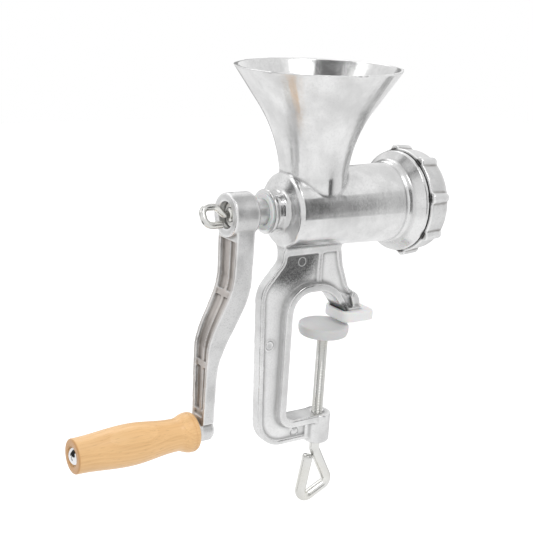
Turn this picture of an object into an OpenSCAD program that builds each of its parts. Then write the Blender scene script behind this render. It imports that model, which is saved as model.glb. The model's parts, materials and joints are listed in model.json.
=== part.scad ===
// Hand crank meat grinder that clamps to a table edge.
// Frame: the origin is the centre of the fixed jaw pad's underside, the face that rests on the
// table top. +X runs along the auger towards the ring nut, +Z is up. Lengths are millimetres.
// Inside placed() the origin is on the auger's axis, in the plane of the barrel's rear edge.

/* [Barrel] */
// Length of the barrel from its rear edge to the shoulder behind the ring nut
barrel_len = 102; // [98:1:110]
// Outer radius of the barrel at its rear edge
barrel_rear_r = 25.5; // [25:0.5:27]
// Outer radius of the barrel where the flange starts
barrel_front_r = 28.2; // [27.5:0.1:30]
// Wall of the barrel
barrel_wall = 3.4; // [2.8:0.1:4]
// Outer radius of the flange's lip
flange_r = 36; // [35.5:0.1:37]
// Length of the flange's cone and lip along the barrel
flange_len = 13; // [11:1:16]
// Outer radius of the thread that the ring nut turns on
thread_r = 33.6; // [33.2:0.1:34]
// Length of that thread
thread_len = 12.5; // [11:0.5:14]

/* [Rear neck] */
// Outer radius of the neck that carries the shaft
neck_r = 13.5; // [12.8:0.1:15]
// Length of the neck behind the barrel
neck_len = 13.4; // [11:0.2:17]
// Radius of the turned collar at the neck's end
collar_r = 15.3; // [15:0.1:17]
// Thickness of that collar
collar_t = 2.4; // [2:0.1:4]

/* [Hopper] */
// Distance of the hopper's axis from the barrel's rear edge
hopper_x = 26; // [24.6:0.2:28]
// Angle by which the hopper leans back over the crank
hopper_lean = 1.4; // [0:0.1:2]
// Outer radius of the hopper's throat
throat_r = 23.2; // [22:0.1:23.2]
// Outer radius of the hopper's rim
rim_r = 56.6; // [53:0.1:60]
// Height of the rim above the auger's axis
rim_h = 95.9; // [90:0.1:102]
// Wall of the hopper
hopper_wall = 2.2; // [1.8:0.1:2.8]
// Radius of the trumpet-shaped curve of the hopper
flare_r = 100; // [90:1:105]

/* [Clamp frame] */
// Height of the auger's axis above the clamping face
axis_h = 83.6; // [80:0.1:90]
// Distance from the barrel's rear edge to the centre of the fixed jaw
jaw_x = 65.5; // [64:0.5:68]
// Width of the flange along the inner side of the frame
frame_w = 17; // [15:0.5:19]
// Thickness of that flange
frame_t = 5.5; // [4.5:0.5:6.5]
// Thickness of the frame's web at its border
web_w = 8.4; // [8:0.2:10]
// Depth of the panel sunk in each side of the web
panel_depth = 1.4; // [0.8:0.1:2]
// Width of the border left around the panel
border_w = 3.6; // [3:0.2:4.4]
// Distance from the leg's inner face to the clamp screw's axis
throat_depth = 33.4; // [33:0.1:40]
// Height of the frame's opening, from the lower arm to the fixed jaw's foot
opening_h = 77.9; // [72:0.1:90]
// Depth of the leg from its outer to its inner face at its foot
leg_w = 21; // [19:0.5:24]
// Height of the lower arm
arm_h = 18.8; // [18:0.1:24]
// Radius of the boss for the clamp screw
boss_r = 9.9; // [9:0.1:10.5]
// Height of that boss
boss_h = 22.4; // [20:0.1:26]

/* [Pads] */
// Length of the fixed jaw's pad along the auger
pad_len = 26; // [25:0.5:28]
// Width of the fixed jaw's pad
pad_w = 29; // [26:0.5:32]
// Thickness of the fixed jaw's pad
pad_t = 8.1; // [6.5:0.1:9]
// Radius of the clamp screw's foot pad
foot_r = 18.1; // [17:0.1:19]
// Thickness of the foot pad
foot_t = 8; // [7:0.5:10]
// Gap between the fixed jaw's pad and the foot pad as stored
jaw_gap = 2.1; // [0.6:0.1:6]

/* [Clamp screw] */
// Radius of the clamp screw's thread, M8
screw_r = 4; // [3.5:0.1:4.5]
// Distance from the boss to the loop's lowest corner
loop_h = 49; // [42:1:54]
// Distance from the screw's axis to the loop's outer corner
loop_w = 14.8; // [13:0.1:18]

/* [Crank] */
// Distance from the auger's axis to the handle's axis
crank_r = 148.8; // [142:0.1:160]
// Radius of the crank's hub
hub_r = 14.7; // [13:0.1:15]
// Length of the crank's hub
hub_len = 19.6; // [18:0.1:26]
// Sideways offset between the arm's outer faces at its two ends
crank_offset = 16.7; // [12:0.1:20]
// Width of the arm below the hub
crank_w_top = 24; // [22:0.5:26]
// Width of the arm at its lower end
crank_w_end = 15.4; // [14:0.2:18]
// Thickness of the arm at the hub
crank_t_top = 14; // [12:0.2:15]
// Thickness of the arm at its lower end
crank_t_end = 8.6; // [8:0.2:11]
// Depth of the channel along the arm's outer side
channel_depth = 3; // [2.4:0.2:5]

/* [Handle] */
// Length of the wooden handle
handle_len = 87.7; // [78:0.1:100]
// Radius of the handle at its thickest
handle_belly_r = 13.9; // [13:0.1:17]
// Radius of the handle at its neck
handle_neck_r = 11.1; // [10.5:0.1:13]
// Radius of the collar next to the arm
handle_collar_r = 13.6; // [13:0.1:17]
// Radius of the handle's outer end
handle_end_r = 11.6; // [10.5:0.1:13]
// Radius of the bolt that the handle turns on
bolt_r = 3.5; // [3:0.1:4]

/* [Inside] */
// Radius of the auger's shaft in the neck
shaft_r = 8.9; // [8.8:0.1:9.4]
// Radius of the auger's core at its rear
core_rear_r = 12; // [11:0.5:13]
// Radius of the auger's core in front
core_front_r = 16; // [14:0.5:17]
// Turns of the auger's flight
flight_turns = 3; // [2.5:0.5:3.5]
// Thickness of the hole plate
plate_t = 5; // [4:0.5:6]
// Radius of the hole plate
plate_r = 31; // [30.8:0.1:31]
// Radius of each hole in the plate
plate_hole_r = 2.5; // [2:0.1:2.6]
// Thickness of the knife
knife_t = 10; // [8:0.5:11]
// Radius of the thumb screw's thread
thumb_r = 2.6; // [2.3:0.1:3]

/* [Ring nut] */
// Outer radius of the nut in front
nut_front_r = 35.9; // [35.7:0.1:37]
// Outer radius of the nut at its rear
nut_rear_r = 37.4; // [37:0.1:39]
// Height of the nut's grip ribs
rib_h = 2.8; // [2:0.1:4]
// Number of grip ribs
ribs = 8; // [6:1:12]
// Radius of the nut's front opening
outlet_r = 27; // [25:0.1:28]

/* [Hidden] */
$fn = 96;

fit = 0.08;            // radial clearance of a running fit
slip = 0.05;           // clearance of a piece seated in its pocket
air = 0.3;             // gap between pieces that move past each other
eps = 0.01;

// Along the auger's axis
rear_wall = 3.4;
thrust_t = 1.8;
thread_end_x = barrel_len + thread_len;
plate_front_x = thread_end_x + 0.5;
plate_back_x = plate_front_x - plate_t;
knife_front_x = plate_back_x - air;
knife_back_x = knife_front_x - knife_t;
mouth_x = knife_back_x - 1.2;
auger_rear_x = rear_wall + thrust_t + air;
bore_rear_r = barrel_rear_r - barrel_wall;
bore_front_r = barrel_front_r - barrel_wall;
mouth_r = plate_r + 0.15;
bush_r = shaft_r + fit + 1.9;
bush_flange_t = 1.2;
neck_end_x = -neck_len;

// Feed screw, drive pin, knife, plate and ring nut
flight_t = 4;
flight_gap = 0.9;      // clearance of the flight in the bore
pin_r = 6;
pin_depth = 18;
pin_side = 12;
pilot_r = 4.6;
knife_hub_r = 12;
knife_r = mouth_r - 1.6;
hole_rings = [[10, 8], [16.3, 14], [22.6, 20]];    // [radius, holes] of each ring
key_r = 1.5;
key_len = plate_t + 3;
nut_rear_x = barrel_len + air;
nut_lip_t = 4.9;
nut_front_x = plate_front_x + slip + nut_lip_t;
grip_rib_r = 4.2;
grip_rib_turn = -13.3;

// Crank and thumb screw, along the auger's axis
hub_gap = 10.8;
hub_inner_x = neck_end_x - hub_gap;
hub_outer_x = hub_inner_x - hub_len;
hub_recess_r = 9;
hub_recess_depth = 6.7;
hub_floor_x = hub_outer_x + hub_recess_depth;
square_side = 12.3;
washer_t = 1.6;
thumb_collar_t = 2;
thumb_collar_r = 5;
thumb_wire_r = thumb_r - 0.3;
thumb_loop_len = 19.5;
thumb_loop_w = 6.3;
thumb_turn = -35;
thumb_hole_depth = 20;
thumb_seat_x = hub_floor_x - washer_t;
thumb_out_x = thumb_seat_x - thumb_collar_t;

// Handle, along its own axis from the arm outwards
arm_top_x = hub_outer_x + 2.8;
arm_end_x = arm_top_x - crank_offset;
boss_lip = 2.4;
handle_seat_x = arm_end_x - boss_lip;
handle_washer_t = 1;
handle_inner_x = handle_seat_x - handle_washer_t - air;
handle_outer_x = handle_inner_x - handle_len;
bolt_thread_r = bolt_r - 0.5;
bolt_head_r = 6.2;
bolt_head_h = 3;
head_pocket = 1.6;
head_x = handle_len - head_pocket + air;
dome_r = (bolt_head_r * bolt_head_r + bolt_head_h * bolt_head_h) / (2 * bolt_head_h);
crank_end_r = crank_w_end / 2 + 0.3;
arm_bend_top = 40;
arm_bend_len = 52;
inner_bend_top = 44;
inner_bend_len = 64;
arm_step = 6;
hub_share = 20;
rim_w = 2.6;
rib_sink = 1.4;
rib_back = 2;
arm_rib_w = 2.2;
channel_end_z = -crank_r + crank_end_r + 3;
channel_top_z = -hub_r - 2;
cross_pad_h = 4;
upper_pad_z = -55;
lower_pad_z = -103;
far = 200;             // reach of a block that something is cut from

// Clamp frame, heights from the auger's axis
jaw_z = pad_t - axis_h;
pad_pocket = 2;
arm_top_z = jaw_z + pad_pocket - opening_h - 2;
arm_bottom_z = arm_top_z - arm_h;
leg_inner_x = 10.8;
leg_outer_x = leg_inner_x - leg_w;
leg_shoulder_x = leg_outer_x - 3.6;
screw_x = leg_inner_x + throat_depth;
foot_rear_x = jaw_x - 10.5;
foot_front_x = jaw_x + 5;
foot_half_w = 9.5;
toe_half_w = 7.5;
foot_plate_t = 3.5;
neck_rear_x = 2.4;
neck_front_x = 51.5;
neck_fillet = 8;
shoulder_r = 20;
corner_r = 21;
inner_r = 7;
arch_r = 15;
arch_fall_r = 24.6;
arch_z = jaw_z - pad_pocket + 19;
arch_flat = 4;
panel_end_x = screw_x - boss_r - 2.5;
rib_x = 34.5;
rib_w = 3.6;
mark_r = 3.5;
mark_depth = 0.5;

// Foot of the clamp screw, heights from the auger's axis
foot_top_z = -axis_h - jaw_gap;
foot_bottom_z = foot_top_z - foot_t;
swivel_r = foot_r - 2.6;
swivel_t = 3;
tip_r = screw_r - 1.4;
tip_head_r = tip_r + 1.6;
tip_head_t = 1.5;
foot_hole_r = tip_head_r + 1.4;
boss_bottom_z = arm_top_z - boss_h;
loop_start_z = boss_bottom_z - 5;

// A point on an arc of radius r about [x, y]
function on_arc(x, y, r, a) = [x + r * cos(a), y + r * sin(a)];

// An arc as a list of points, from angle a to angle b
function arc(x, y, r, a, b, n = 8) = [for (i = [0:n]) on_arc(x, y, r, a + (b - a) * i / n)];

// Smooth step from 0 to 1
function ease(t) = let (c = min(1, max(0, t))) c * c * (3 - 2 * c);

// Points of a smooth curve through [position, radius] stations, flat at each station
function blend(stations, n = 8) = [
    for (i = [0:len(stations) - 2])
        for (j = [0:n - 1])
            let (a = stations[i], b = stations[i + 1], t = j / n)
                [a[0] + (b[0] - a[0]) * t, a[1] + (b[1] - a[1]) * (1 - cos(180 * t)) / 2],
    stations[len(stations) - 1]
];

function reverse(list) = [for (i = [len(list) - 1:-1:0]) list[i]];

function unit(v) = v / norm(v);

// Replace each inner corner of a flat path by an arc of radius r
function rounded(path, r, n = 6) = [
    path[0],
    for (i = [1:len(path) - 2])
        let (
            p = path[i],
            u = unit(path[i - 1] - p),
            v = unit(path[i + 1] - p),
            half = acos(u * v) / 2,
            centre = p + unit(u + v) * r / sin(half),
            start = p + u * r / tan(half),
            end = p + v * r / tan(half)
        )
            for (j = [0:n])
                let (w = unit((start - centre) * (n - j) + (end - centre) * j)) centre + w * r,
    path[len(path) - 1]
];

// Barrel frame to the part's own frame
module placed() {
    translate([-jaw_x, 0, axis_h]) children();
}

// A solid turned about the X axis from [position, radius] points
module turned(points) {
    rotate([0, 90, 0]) rotate_extrude() polygon([for (p = points) [p[1], p[0]]]);
}

// A rod along X from x0 to x1
module rod_x(x0, x1, r) {
    translate([x0, 0, 0]) rotate([0, 90, 0]) cylinder(h = x1 - x0, r = r);
}

// A flat outline in XZ, given thickness w across Y
module slab(w) {
    rotate([90, 0, 0]) translate([0, 0, -w / 2]) linear_extrude(w) children();
}

// A flat outline in YZ, from x0 to x1
module slab_x(x0, x1) {
    translate([x0, 0, 0]) rotate([90, 0, 90]) linear_extrude(x1 - x0) children();
}

// A wire of radius r along a flat path in XZ
module wire(path, r, sides = 16) {
    last = len(path) - 1;
    points = [
        for (i = [0:last])
            let (
                t = unit(path[min(i + 1, last)] - path[max(i - 1, 0)]),
                side = [-t[1], t[0]]
            )
                for (k = [0:sides - 1])
                    let (a = 360 * k / sides, s = r * cos(a))
                        [path[i][0] + side[0] * s, r * sin(a), path[i][1] + side[1] * s]
    ];
    skin = [
        for (i = [0:last - 1])
            for (k = [0:sides - 1])
                let (a = i * sides + k, b = i * sides + (k + 1) % sides)
                    [a, b, b + sides, a + sides]
    ];
    start_cap = [for (k = [sides - 1:-1:0]) k];
    end_cap = [for (k = [0:sides - 1]) last * sides + k];
    polyhedron(points, concat(skin, [start_cap, end_cap]), convexity = 6);
}

// Inner outline of the frame's opening, moved outwards into the metal by t
function opening_path(t) = concat(
    [[screw_x, arm_top_z - t]],
    arc(leg_inner_x + inner_r, arm_top_z + inner_r, inner_r + t, 270, 180),
    arc(leg_inner_x + arch_r, arch_z - arch_r, arch_r + t, 180, 90),
    arc(leg_inner_x + arch_r + arch_flat, arch_z - arch_fall_r, arch_fall_r + t, 90, 45),
    [[foot_rear_x + t, jaw_z], [foot_rear_x + t, jaw_z - pad_pocket]]
);

// Outer outline of the frame behind the opening, moved inwards by t
function back_path(t) = concat(
    [[neck_rear_x + t, -20]],
    arc(neck_rear_x - neck_fillet, -33, neck_fillet + t, 0, -45),
    arc(leg_shoulder_x + shoulder_r, -62, shoulder_r - t, 135, 180),
    arc(leg_outer_x + corner_r, arm_bottom_z + corner_r, corner_r - t, 180, 270),
    [[screw_x, arm_bottom_z + t]]
);

// Front outline of the frame from the fixed jaw's foot up to the barrel, moved inwards by t
function front_path(t) = [
    [foot_front_x - 1.5 - t, jaw_z - pad_pocket],
    [foot_front_x - 2.5 - t, jaw_z + 8],
    [neck_front_x + 9 - t, -59],
    [neck_front_x + 3 - t, -43],
    [neck_front_x + 0.4 - t, -30],
    [neck_front_x - t, -20]
];

module frame_web() {
    slab(web_w) polygon(concat(back_path(0), opening_path(0), front_path(0)));
}

module opening_flange() {
    slab(frame_w) polygon(concat(opening_path(0), reverse(opening_path(frame_t))));
}

// Panels sunk in both sides of the web, with the front rib left standing
module web_panels() {
    for (side = [-1, 1])
        translate([0, side * web_w / 2, 0])
            difference() {
                slab(2 * panel_depth)
                    polygon(concat(
                        [[neck_rear_x + border_w, -30]],
                        [for (p = back_path(border_w)) if (p[1] < -31 && p[0] < panel_end_x) p],
                        [[panel_end_x, arm_bottom_z + border_w]],
                        [[panel_end_x, arm_top_z - frame_t - 0.4]],
                        [for (p = opening_path(frame_t + 0.4)) if (p[0] < panel_end_x) p],
                        [for (p = opening_path(frame_t + 0.4))
                            if (p[0] >= panel_end_x && p[1] > jaw_z) p],
                        [for (p = front_path(border_w)) if (p[1] < -31 && p[1] > jaw_z) p],
                        [[neck_front_x - border_w, -30]]
                    ));
                translate([rib_x - rib_w / 2, -web_w, arch_z])
                    cube([rib_w, 2 * web_w, -arch_z]);
            }
}

module ejector_marks() {
    for (p = [[19, -37], [-4, -95], [22.5, arm_bottom_z + arm_h / 2 + 1]])
        for (side = [-1, 1])
            translate([p[0], side * (web_w / 2 - panel_depth), p[1]])
                rotate([90, 0, 0])
                    difference() {
                        cylinder(h = 2 * mark_depth, r = mark_r, center = true);
                        cylinder(h = 3 * mark_depth, r = mark_r - 0.8, center = true);
                    }
}

// Saddle where the web spreads under the barrel
module saddle() {
    half = web_w / 2;
    slab_x(neck_rear_x, neck_front_x)
        polygon(concat(
            arc(half + 10, -32, 10, 180, 128, 6),
            [[half + 7, -14], [-half - 7, -14]],
            arc(-half - 10, -32, 10, 52, 0, 6)
        ));
}

module jaw_foot() {
    foot_len = foot_front_x - foot_rear_x;
    translate([foot_rear_x, -foot_half_w, jaw_z - pad_pocket])
        cube([foot_len, 2 * foot_half_w, foot_plate_t]);
    slab(2 * toe_half_w)
        polygon([
            [foot_front_x - 5, jaw_z - pad_pocket],
            [foot_front_x, jaw_z - pad_pocket],
            [foot_front_x - 0.6, jaw_z + 6],
            [foot_front_x - 3, jaw_z + 10.5],
            [foot_front_x - 7, jaw_z + 13.5],
            [foot_front_x - 9, jaw_z + 9]
        ]);
}

function flare_point(t, a) = let (start = 5)
    on_arc(throat_r + flare_r * cos(start), 24 - flare_r * sin(start), flare_r + t, 180 - a);

// The hopper's side, moved inwards by t, from its throat up to height top
function hopper_side(t, top) = let (lip = flare_point(t, 32)) concat(
    [[throat_r - t, 0]],
    [for (a = [5:3:32]) flare_point(t, a)],
    [lip, [rim_r - t / cos(32) + (top - rim_h) * tan(32), top]]
);

module hopper_solid(t, top) {
    translate([hopper_x, 0, 0])
        rotate([0, -hopper_lean, 0])
            rotate_extrude() polygon(concat([[0, 0]], hopper_side(t, top), [[0, top]]));
}

module barrel_outside() {
    cone_x = barrel_len - flange_len;
    turned(concat(
        [[0, 0], [neck_end_x, 0], [neck_end_x, collar_r - 0.5], [neck_end_x + 0.5, collar_r]],
        [[neck_end_x + collar_t - 0.5, collar_r], [neck_end_x + collar_t, collar_r - 0.5]],
        [[neck_end_x + collar_t, neck_r]],
        arc(-5, neck_r + 3.5, 3.5, 270, 345, 5),
        [[0.4, barrel_rear_r - 1.6], [2, barrel_rear_r]],
        [[cone_x, barrel_front_r], [cone_x, barrel_front_r + 0.9]],
        arc(cone_x + 2, barrel_front_r + 5, 4, 270, 315, 4),
        [[barrel_len - 4.2, flange_r - 0.8], [barrel_len - 3.6, flange_r]],
        [[barrel_len, flange_r], [barrel_len, thread_r - 0.8]],
        [[barrel_len + 1.4, thread_r - 0.8], [barrel_len + 1.8, thread_r]],
        [[thread_end_x - 1, thread_r], [thread_end_x, thread_r - 1], [thread_end_x, 0]]
    ));
}

module barrel_inside() {
    turned([
        [rear_wall, 0],
        [rear_wall, bore_rear_r],
        [mouth_x - 4, bore_front_r],
        [mouth_x, mouth_r],
        [thread_end_x + 1, mouth_r],
        [thread_end_x + 1, 0]
    ]);
    rod_x(neck_end_x - 1, rear_wall + 1, bush_r + slip);
}

// Half of the key's seat is in the mouth's wall and half in the plate's notch
module key_seat(x0, x1, r) {
    translate([0, 0, -plate_r - 0.4]) rod_x(x0, x1, r);
}

module clamp_boss() {
    translate([screw_x, 0, boss_bottom_z])
        rotate_extrude()
            polygon([[0, 0], [boss_r - 1, 0], [boss_r, 1], [boss_r, boss_h - 0.6],
                [boss_r - 0.6, boss_h], [0, boss_h]]);
}

module body_casting() {
    color("lightgray")
        placed()
            difference() {
                union() {
                    barrel_outside();
                    hopper_solid(0, rim_h);
                    difference() {
                        frame_web();
                        web_panels();
                    }
                    ejector_marks();
                    opening_flange();
                    saddle();
                    jaw_foot();
                    clamp_boss();
                }
                barrel_inside();
                hopper_solid(hopper_wall, rim_h + 1);
                key_seat(thread_end_x - key_len + 0.5, thread_end_x + 1, key_r + slip);
                translate([screw_x, 0, boss_bottom_z - 1])
                    cylinder(h = boss_h + 2, r = screw_r + fit);
            }
}

module shaft_bush() {
    color("whitesmoke")
        placed()
            turned([
                [rear_wall, shaft_r + fit],
                [rear_wall, bush_r],
                [neck_end_x, bush_r],
                [neck_end_x, bush_r + 1.4],
                [neck_end_x - bush_flange_t, bush_r + 1.4],
                [neck_end_x - bush_flange_t, shaft_r + fit]
            ]);
}

module thrust_washer() {
    color("ivory")
        placed()
            turned([
                [rear_wall, shaft_r + fit],
                [rear_wall, core_rear_r + 2],
                [rear_wall + thrust_t, core_rear_r + 2],
                [rear_wall + thrust_t, shaft_r + fit]
            ]);
}

// Radius of the barrel's bore at x
function bore_r(x) = bore_rear_r
    + (bore_front_r - bore_rear_r) * (x - rear_wall) / (mouth_x - 4 - rear_wall);

// One thread of the feed screw: its pitch gets shorter towards the plate
module flight() {
    steps = round(flight_turns * 20);
    x0 = auger_rear_x + flight_t;
    x1 = mouth_x - 4 - flight_t;
    points = [
        for (i = [0:steps])
            let (
                t = i / steps,
                x = x0 + (x1 - x0) * (1.2 * t - 0.2 * t * t),
                a = -360 * flight_turns * t,
                top = bore_r(x - flight_t / 2) - flight_gap
            )
                for (q = [[x - flight_t / 2, 8], [x - flight_t / 4, top],
                        [x + flight_t / 4, top], [x + flight_t / 2, 8]])
                    [q[0], q[1] * cos(a), q[1] * sin(a)]
    ];
    skin = [
        for (i = [0:steps - 1])
            for (k = [0:3])
                let (a = 4 * i + k, b = 4 * i + (k + 1) % 4)
                    each [[a, a + 4, b], [b, a + 4, b + 4]]
    ];
    polyhedron(points, concat(skin, [[0, 1, 2, 3]],
        [[4 * steps + 3, 4 * steps + 2, 4 * steps + 1, 4 * steps]]), convexity = 8);
}

module auger() {
    color("silver")
        placed()
            difference() {
                union() {
                    turned([
                        [hub_inner_x + air, 0],
                        [hub_inner_x + air, shaft_r - 0.6],
                        [hub_inner_x + air + 0.6, shaft_r],
                        [auger_rear_x, shaft_r],
                        [auger_rear_x, core_rear_r],
                        [knife_back_x - 1, core_front_r],
                        [knife_back_x, core_front_r - 1],
                        [knife_back_x, 0]
                    ]);
                    flight();
                    translate([hub_floor_x + 0.4, -square_side / 2, -square_side / 2])
                        cube([hub_inner_x + 1 - hub_floor_x, square_side, square_side]);
                }
                rod_x(hub_floor_x - 1, hub_floor_x + thumb_hole_depth, thumb_r + fit);
                rod_x(knife_back_x - pin_depth, knife_back_x + 1, pin_r);
            }
}

module drive_pin() {
    color("slategray")
        placed()
            union() {
                rod_x(knife_back_x - pin_depth, knife_back_x, pin_r);
                translate([knife_back_x, -pin_side / 2, -pin_side / 2])
                    cube([knife_t - 0.6, pin_side, pin_side]);
                turned([
                    [knife_back_x + 1, 0],
                    [knife_back_x + 1, pilot_r],
                    [plate_front_x - 1, pilot_r],
                    [plate_front_x, pilot_r - 1],
                    [plate_front_x, 0]
                ]);
            }
}

module knife() {
    color("dimgray")
        placed()
            difference() {
                union() {
                    rod_x(knife_back_x, knife_front_x, knife_hub_r);
                    for (i = [0:3])
                        rotate([90 * i, 0, 0])
                            slab_x(knife_front_x - 5.5, knife_front_x)
                                polygon([[-4.5, 0], [5.5, 0], [3.5, knife_r - 5],
                                    [1, knife_r], [-2.5, knife_r - 3], [-5, 16]]);
                }
                translate([knife_back_x - 1, -pin_side / 2 - slip, -pin_side / 2 - slip])
                    cube([knife_t + 2, pin_side + 2 * slip, pin_side + 2 * slip]);
            }
}

module hole_plate() {
    color("gainsboro")
        placed()
            difference() {
                turned([
                    [plate_back_x, 0],
                    [plate_back_x, plate_r],
                    [plate_front_x, plate_r],
                    [plate_front_x, 0]
                ]);
                rod_x(plate_back_x - 1, plate_front_x + 1, pilot_r + fit);
                for (ring = hole_rings)
                    for (i = [0:ring[1] - 1])
                        rotate([360 * i / ring[1], 0, 0])
                            translate([0, ring[0], 0])
                                rod_x(plate_back_x - 1, plate_front_x + 1, plate_hole_r);
                key_seat(plate_back_x - 1, plate_front_x + 1, key_r + air);
            }
}

module plate_key() {
    color("gray") placed() key_seat(thread_end_x - key_len + 0.5, thread_end_x, key_r);
}

module ring_nut() {
    color("darkgray")
        placed()
            difference() {
                union() {
                    turned([
                        [nut_rear_x, 0],
                        [nut_rear_x, nut_rear_r - 1],
                        [nut_rear_x + 1, nut_rear_r],
                        [nut_front_x - 2.5, nut_front_r],
                        [nut_front_x - 0.7, nut_front_r - 0.7],
                        [nut_front_x, nut_front_r - 2.5],
                        [nut_front_x, 0]
                    ]);
                    for (i = [0:ribs - 1])
                        rotate([360 * i / ribs + grip_rib_turn, 0, 0])
                            translate([0, 0, nut_rear_r + rib_h - grip_rib_r])
                                turned([
                                    [nut_rear_x + 0.4, 0],
                                    [nut_rear_x + 0.4, grip_rib_r - 0.7],
                                    [nut_rear_x + 1.2, grip_rib_r],
                                    [nut_front_x - 3, grip_rib_r - 0.9],
                                    [nut_front_x - 1.2, grip_rib_r - 2.2],
                                    [nut_front_x - 1.2, 0]
                                ]);
                }
                rod_x(nut_rear_x - 1, plate_front_x + slip, thread_r + air);
                rod_x(plate_front_x, nut_front_x + 1, outlet_r);
            }
}

// The arm's outer and inner faces at height z: the inner one bends back lower down
function arm_outer(z) = arm_top_x - crank_offset * ease((-z - arm_bend_top) / arm_bend_len);
function arm_inner(z) = arm_top_x + crank_t_top
    - (crank_offset + crank_t_top - crank_t_end) * ease((-z - inner_bend_top) / inner_bend_len);

arm_steps = [0:arm_step:crank_r];

module arm_side(inset_outer, inset_inner) {
    slab(4 * hub_r)
        polygon(concat(
            [for (s = arm_steps) [arm_outer(-s) + inset_outer, -s]],
            [[arm_end_x + inset_outer, -crank_r - 2 * crank_end_r]],
            [[arm_end_x + crank_t_end - inset_inner, -crank_r - 2 * crank_end_r]],
            reverse([for (s = arm_steps) [arm_inner(-s) - inset_inner, -s]])
        ));
}

// The arm seen along the auger, moved inwards by t
module arm_front(t) {
    half_top = crank_w_top / 2 - t;
    half_end = crank_w_end / 2 - t;
    low = -crank_r + 6;
    slab_x(arm_end_x - 2 * crank_t_top, arm_top_x + 2 * crank_t_top)
        union() {
            polygon([[-half_top, t * 3], [half_top, t * 3], [half_top, -hub_share],
                [half_end, low], [-half_end, low], [-half_top, -hub_share]]);
            translate([0, -crank_r]) circle(r = crank_end_r - t);
        }
}

module arm_channel() {
    intersection() {
        difference() {
            arm_side(-hub_share, 0);
            arm_side(channel_depth, -hub_share);
        }
        arm_front(rim_w);
        translate([-far, -far / 2, channel_end_z])
            cube([2 * far, far, channel_top_z - channel_end_z]);
    }
}

// Middle rib and three cross pads standing in the channel
module arm_ribs() {
    intersection() {
        arm_side(rib_sink, rib_back);
        arm_front(1);
        union() {
            translate([-far, -arm_rib_w / 2, -crank_r]) cube([2 * far, arm_rib_w, crank_r - hub_r]);
            for (z = [upper_pad_z, lower_pad_z, channel_end_z])
                translate([-far, -crank_w_top / 2, z]) cube([2 * far, crank_w_top, cross_pad_h]);
        }
    }
}

module crank_arm() {
    color("darkgray")
        placed()
            difference() {
                union() {
                    turned([
                        [hub_outer_x, 0],
                        [hub_outer_x, hub_r - 0.8],
                        [hub_outer_x + 0.8, hub_r],
                        [hub_inner_x - 2, hub_r],
                        [hub_inner_x, hub_r - 1.6],
                        [hub_inner_x, 0]
                    ]);
                    difference() {
                        intersection() {
                            arm_side(0, 0);
                            arm_front(0);
                        }
                        arm_channel();
                    }
                    arm_ribs();
                    translate([0, 0, -crank_r])
                        rod_x(arm_end_x + 1, arm_end_x + crank_t_end + 1.2, crank_end_r - 1);
                    translate([0, 0, -crank_r]) rod_x(handle_seat_x, arm_end_x + 1, bolt_r + 4);
                }
                rod_x(hub_outer_x - 1, hub_floor_x, hub_recess_r);
                translate([hub_floor_x - 1, -square_side / 2 - slip, -square_side / 2 - slip])
                    cube([hub_len, square_side + 2 * slip, square_side + 2 * slip]);
                translate([0, 0, -crank_r])
                    rod_x(handle_seat_x - 1, arm_end_x + 20, bolt_thread_r);
            }
}

module thumb_washer() {
    color("silver")
        placed()
            turned([
                [hub_floor_x, thumb_r + fit],
                [hub_floor_x, hub_recess_r - 0.8],
                [hub_floor_x - washer_t, hub_recess_r - 0.8],
                [hub_floor_x - washer_t, thumb_r + fit]
            ]);
}

// Middle of the thumb screw's bent wire: a ring left open beside the shank
thumb_path = rounded([
    [thumb_out_x + 0.6, 0],
    [thumb_out_x - 4, 0],
    [thumb_out_x - 8, thumb_loop_w],
    [thumb_out_x - thumb_loop_len, thumb_loop_w],
    [thumb_out_x - thumb_loop_len, -thumb_loop_w],
    [thumb_out_x - 6.5, -thumb_loop_w]
], 5);

module thumb_screw() {
    color("silver")
        placed()
            union() {
                rod_x(hub_floor_x + 1, hub_floor_x + thumb_hole_depth - 2, thumb_r);
                rod_x(thumb_out_x, hub_floor_x + 2, thumb_r - eps);
                rod_x(thumb_out_x, thumb_seat_x, thumb_collar_r);
                rotate([thumb_turn, 0, 0]) wire(thumb_path, thumb_wire_r);
            }
}

// Handle's outline from the arm outwards
handle_profile = concat(
    [[0, handle_collar_r - 1.6], [0.5, handle_collar_r - 0.6], [1.6, handle_collar_r]],
    blend([
        [4, handle_collar_r],
        [14, handle_neck_r],
        [handle_len * 0.55, handle_belly_r],
        [handle_len - 1.2, handle_end_r]
    ]),
    [[handle_len - 0.3, handle_end_r - 0.4], [handle_len, handle_end_r - 1.1]]
);
module at_handle() {
    placed() translate([handle_inner_x, 0, -crank_r]) rotate([0, 0, 180]) children();
}

module handle_grip() {
    color("burlywood")
        at_handle()
            difference() {
                turned(concat([[0, 0]], handle_profile, [[handle_len, 0]]));
                rod_x(-1, handle_len + 1, bolt_r + fit);
                rod_x(handle_len - head_pocket, handle_len + 1, bolt_head_r + 0.5);
            }
}

module handle_bolt() {
    dome_x = head_x + bolt_head_h - dome_r;
    color("lightsteelblue")
        at_handle()
            union() {
                turned(concat(
                    [[head_x, 0]],
                    reverse(arc(dome_x, 0, dome_r, 0, asin(bolt_head_r / dome_r), 8))
                ));
                rod_x(-handle_washer_t - air, head_x + 0.5, bolt_r);
                rod_x(-handle_washer_t - air - boss_lip - crank_t_end, 0, bolt_thread_r - slip);
            }
}

module handle_washer() {
    color("silver")
        placed()
            translate([0, 0, -crank_r])
                turned([
                    [handle_seat_x, bolt_r + slip],
                    [handle_seat_x, bolt_r + 4.5],
                    [handle_seat_x - handle_washer_t, bolt_r + 4.5],
                    [handle_seat_x - handle_washer_t, bolt_r + slip]
                ]);
}

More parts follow.
